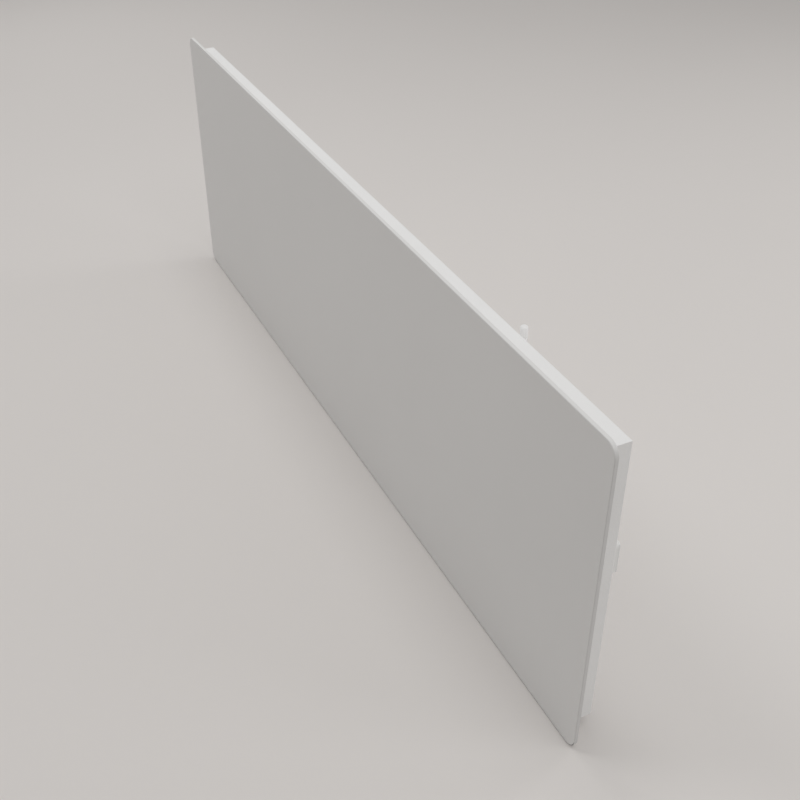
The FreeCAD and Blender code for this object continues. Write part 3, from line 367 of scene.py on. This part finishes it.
def node_solids(name):
    """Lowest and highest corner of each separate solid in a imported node."""
    mesh = frame["nodes"][name].data
    keys = [tuple(round(value, 6) for value in vertex.co) for vertex in mesh.vertices]
    group = {key: key for key in keys}

    def root(key):
        while group[key] != key:
            key = group[key]
        return key

    for edge in mesh.edges:
        first, second = [root(keys[i]) for i in edge.vertices]
        group[first] = second
    members = {}
    for key in group:
        members.setdefault(root(key), []).append(key)
    boxes = [(Vector(map(min, zip(*points))), Vector(map(max, zip(*points)))) for points in members.values()]
    return sorted(boxes, key=lambda box: tuple(box[0]))


def to_mesh(build):
    mesh = bpy.data.meshes.new("shape")
    build.to_mesh(mesh)
    build.free()
    return mesh


def round_profile(corners):
    """Outline through (radius, height, fillet) corners, with an arc at each corner that has a fillet."""
    points = []
    count = len(corners)
    for i, (radius, height, fillet) in enumerate(corners):
        corner = Vector((radius, height))
        if fillet <= 0:
            points.append(tuple(corner))
            continue
        back = (Vector(corners[i - 1][:2]) - corner).normalized()
        ahead = (Vector(corners[(i + 1) % count][:2]) - corner).normalized()
        half_angle = back.angle(ahead) / 2
        centre = corner + (back + ahead).normalized() * (fillet / math.sin(half_angle))
        start = corner + back * (fillet / math.tan(half_angle)) - centre
        turn = start.angle_signed(corner + ahead * (fillet / math.tan(half_angle)) - centre)
        for step in range(ROUND_STEPS + 1):
            spoke = start.copy()
            spoke.rotate(Matrix.Rotation(-turn * step / ROUND_STEPS, 2))
            points.append(tuple(centre + spoke))
    return points


def lathe(profile, closed=False):
    """Mesh turned about Z from (radius, height) points; a point on the axis becomes a pole."""
    build = bmesh.new()
    rings = []
    for radius, height in profile:
        steps = TURN_STEPS if radius > 0 else 1
        rings.append([build.verts.new((radius * math.cos(2 * math.pi * i / steps),
                                       radius * math.sin(2 * math.pi * i / steps), height))
                      for i in range(steps)])
    pairs = list(zip(rings, rings[1:]))
    if closed:
        pairs.append((rings[-1], rings[0]))
    for lower, upper in pairs:
        for i in range(TURN_STEPS):
            loop = ((lower, i), (lower, i + 1), (upper, i + 1), (upper, i))
            corners = [ring[k % len(ring)] for ring, k in loop]
            build.faces.new(list(dict.fromkeys(corners)))
    bmesh.ops.recalc_face_normals(build, faces=build.faces)
    return to_mesh(build)


def cut_away(mesh, cutter):
    """Mesh with another one cut out of it, and the slivers of the cut welded."""
    body = bpy.data.objects.new("body", mesh)
    tool = bpy.data.objects.new("tool", cutter)
    for piece in (body, tool):
        scene.collection.objects.link(piece)
    modifier = body.modifiers.new("cut", "BOOLEAN")
    modifier.operation = "DIFFERENCE"
    modifier.solver = "EXACT"
    modifier.object = tool
    result = bpy.data.meshes.new_from_object(body.evaluated_get(bpy.context.evaluated_depsgraph_get()))
    for piece in (body, tool):
        bpy.data.objects.remove(piece)
    build = bmesh.new()
    build.from_mesh(result)
    bmesh.ops.remove_doubles(build, verts=build.verts, dist=WELD_DISTANCE)
    bmesh.ops.dissolve_degenerate(build, edges=build.edges, dist=WELD_DISTANCE)
    return to_mesh(build)


def cross_recess(arm, width, top, depth):
    """Cross that a screwdriver fits, narrowing downwards."""
    outline = []
    for quarter in range(4):
        turn = Matrix.Rotation(quarter * math.pi / 2, 2)
        outline += [turn @ Vector(point) for point in ((arm, -width), (arm, width), (width, width))]
    build = bmesh.new()
    low = [build.verts.new((*(point * CROSS_TAPER), top - depth)) for point in outline]
    high = [build.verts.new((*point, top + depth * CROSS_RISE_SHARE)) for point in outline]
    build.faces.new(low)
    build.faces.new(high)
    for i in range(len(outline)):
        j = (i + 1) % len(outline)
        build.faces.new((low[i], low[j], high[j], high[i]))
    bmesh.ops.recalc_face_normals(build, faces=build.faces)
    return to_mesh(build)


def pan_head(radius, height, shank, length):
    """Screw with a low domed head on the plane z = 0 and a cross recess in it."""
    rim = height * HEAD_RIM_SHARE
    profile = [(0, -length), (shank, -length), (shank, 0), (radius, 0)]
    for step in range(DOME_STEPS):
        angle = math.pi / 2 * step / DOME_STEPS
        profile.append((radius * math.cos(angle) ** DOME_FULLNESS, rim + (height - rim) * math.sin(angle)))
    profile.append((0, height))
    recess = cross_recess(radius * CROSS_ARM_SHARE, radius * CROSS_WIDTH_SHARE, height,
                          height * CROSS_DEPTH_SHARE)
    return cut_away(lathe(profile), recess)


def rivet_head(radius, height, shank, length):
    """Blind rivet with a domed head and the broken mandrel down its middle."""
    profile = [(0, -length), (shank, -length), (shank, 0), (radius, 0), (radius, height * RIVET_RIM_SHARE)]
    dome_angle = math.radians(RIVET_DOME_ANGLE)
    for step in range(1, RIVET_DOME_STEPS + 1):
        angle = dome_angle * step / RIVET_DOME_STEPS
        rise = (1 - RIVET_RIM_SHARE) * math.sin(angle) / math.sin(dome_angle)
        profile.append((radius * math.cos(angle), height * (RIVET_RIM_SHARE + rise)))
    pit = radius * RIVET_PIT_SHARE
    profile += [(pit * across, height * up) for across, up in RIVET_PIT]
    return lathe(profile)


def towards_wall(place):
    """Matrix that stands a millimetre shape on a point, with its Z axis along +Y."""
    return Matrix.Translation(place) @ Matrix.Rotation(-math.pi / 2, 4, "X") @ Matrix.Scale(MM, 4)


def make_piece(name, mesh, matrices, body, slot, nodes=()):
    """Copies of a shape as one piece, which rides on a body and stands for nodes."""
    build = bmesh.new()
    for matrix in matrices:
        first = len(build.verts)
        build.from_mesh(mesh)
        build.verts.ensure_lookup_table()
        bmesh.ops.transform(build, matrix=matrix, verts=build.verts[first:])
    shape = to_mesh(build)
    shape.name = name
    shape.shade_smooth()
    shape.set_sharp_from_angle(angle=math.radians(SHARP_ANGLE))
    shape.materials.clear()
    shape.materials.append(materials[slot])
    piece = bpy.data.objects.new(name, shape)
    scene.collection.objects.link(piece)
    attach(piece, body)
    if nodes:
        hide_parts(*nodes)


def make_heads(name, node, shape, head_height, shank):
    """Detailed heads in place of a node of plain screws or rivets, each turned further than the last."""
    solids = node_solids(node)
    low, high = solids[0]
    radius = (high.x - low.x) / 2 / MM
    length = (high.y - low.y) / MM - head_height
    places = [Vector(((low.x + high.x) / 2, high.y - head_height * MM, (low.z + high.z) / 2))
              for low, high in solids]
    matrices = [towards_wall(place) @ Matrix.Rotation(math.radians(SCREW_TURN * i), 4, "Z")
                for i, place in enumerate(places)]
    make_piece(name, shape(radius, head_height, shank, length), matrices, "heater", "screw_zinc", [node])


def buffer_profile(base, length):
    """Half section of a tapered spacer with grooves round it and a recess for its screw."""
    lean = (base - BUFFER_TIP_RADIUS) / length
    half = GROOVE_WIDTH / 2
    half_floor = GROOVE_FLOOR_WIDTH / 2
    corners = [(BUFFER_HOLE_RADIUS, 0, 0), (base, 0, BUFFER_BASE_FILLET)]
    for height in GROOVE_HEIGHTS:
        radius = base - lean * height
        corners += [(radius + lean * half, height - half, GROOVE_EDGE_FILLET),
                    (radius - GROOVE_DEPTH, height - half_floor, GROOVE_FLOOR_FILLET),
                    (radius - GROOVE_DEPTH, height + half_floor, GROOVE_FLOOR_FILLET),
                    (radius - lean * half, height + half, GROOVE_EDGE_FILLET)]
    corners += [(BUFFER_TIP_RADIUS, length, BUFFER_TIP_FILLET),
                (BUFFER_RECESS_RADIUS, length, BUFFER_RECESS_FILLET),
                (BUFFER_RECESS_RADIUS, BUFFER_FLOOR, BUFFER_FLOOR_FILLET),
                (BUFFER_HOLE_RADIUS, BUFFER_FLOOR, 0)]
    return round_profile(corners)


def make_buffers():
    """Moulded rubber spacers at the lower edge."""
    for side in ("left", "right"):
        node = "wall_buffer_" + side
        low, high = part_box(node)
        profile = buffer_profile((high.x - low.x) / 2 / MM, (high.y - low.y) / MM)
        foot = Vector(((low.x + high.x) / 2, low.y, (low.z + high.z) / 2))
        make_piece("moulded_buffer_" + side, lathe(profile, closed=True), [towards_wall(foot)],
                   "heater", "rubber_grey", [node])


def bevel(build, edges, size, steps):
    """Take off edges, round with several steps and flat with one."""
    bmesh.ops.bevel(build, geom=edges, offset=size * MM, segments=steps, profile=0.5, affect="EDGES")


def make_cover():
    """Lid of the control box, with a fine groove where it meets the base."""
    low, high = (corner.copy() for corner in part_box("control_cover"))
    low.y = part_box("control_base")[1].y
    build = bmesh.new()
    bmesh.ops.create_cube(build, size=1.0)
    bmesh.ops.scale(build, vec=high - low, verts=build.verts)
    bmesh.ops.translate(build, vec=(low + high) / 2, verts=build.verts)
    corners = [edge for edge in build.edges if abs(edge.verts[0].co.y - edge.verts[1].co.y) > MM]
    bevel(build, corners, COVER_CORNER_RADIUS, COVER_CORNER_STEPS)
    rims = ((low.y, COVER_SEAM, COVER_SEAM_STEPS), (high.y, COVER_EDGE_RADIUS, COVER_EDGE_STEPS))
    for level, size, steps in rims:
        rim = [edge for edge in build.edges
               if all(abs(end.co.y - level) < LEVEL_TOLERANCE * MM for end in edge.verts)]
        bevel(build, rim, size, steps)
    make_piece("seamed_cover", to_mesh(build), [Matrix.Identity(4)], "heater", "box_white", ["control_cover"])


def make_antenna_grip():
    """Fine rings round the collar of the antenna."""
    low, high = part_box("antenna_rod")
    axis = Vector(((low.x + high.x) / 2, (low.y + high.y) / 2, 0))
    angles = [2 * math.pi * i / GRIP_RING_STEPS for i in range(GRIP_RING_STEPS)]
    ring = lathe([(GRIP_RING_RADIUS + GRIP_RING_SIZE * math.cos(angle), GRIP_RING_SIZE * math.sin(angle))
                  for angle in angles], closed=True)
    matrices = [Matrix.Translation(axis + Vector((0, 0, height * MM))) @ Matrix.Scale(MM, 4)
                for height in GRIP_RING_HEIGHTS]
    make_piece("antenna_grip", ring, matrices, "antenna", "antenna_white")


make_camera()
make_lights()
make_floor(make_material("floor", **FLOOR_SURFACE))
dress_nodes()
make_heads("casing_screw_heads", "casing_screws", pan_head, CASING_HEAD_HEIGHT, CASING_SHANK_RADIUS)
make_heads("cover_screw_heads", "cover_screws", pan_head, COVER_HEAD_HEIGHT, COVER_SHANK_RADIUS)
make_heads("buffer_screw_heads", "buffer_screws", pan_head, CASING_HEAD_HEIGHT, CASING_SHANK_RADIUS)
make_heads("hanger_rivet_heads", "hanger_rivets", rivet_head, RIVET_HEAD_HEIGHT, RIVET_SHANK_RADIUS)
make_buffers()
make_cover()
make_antenna_grip()
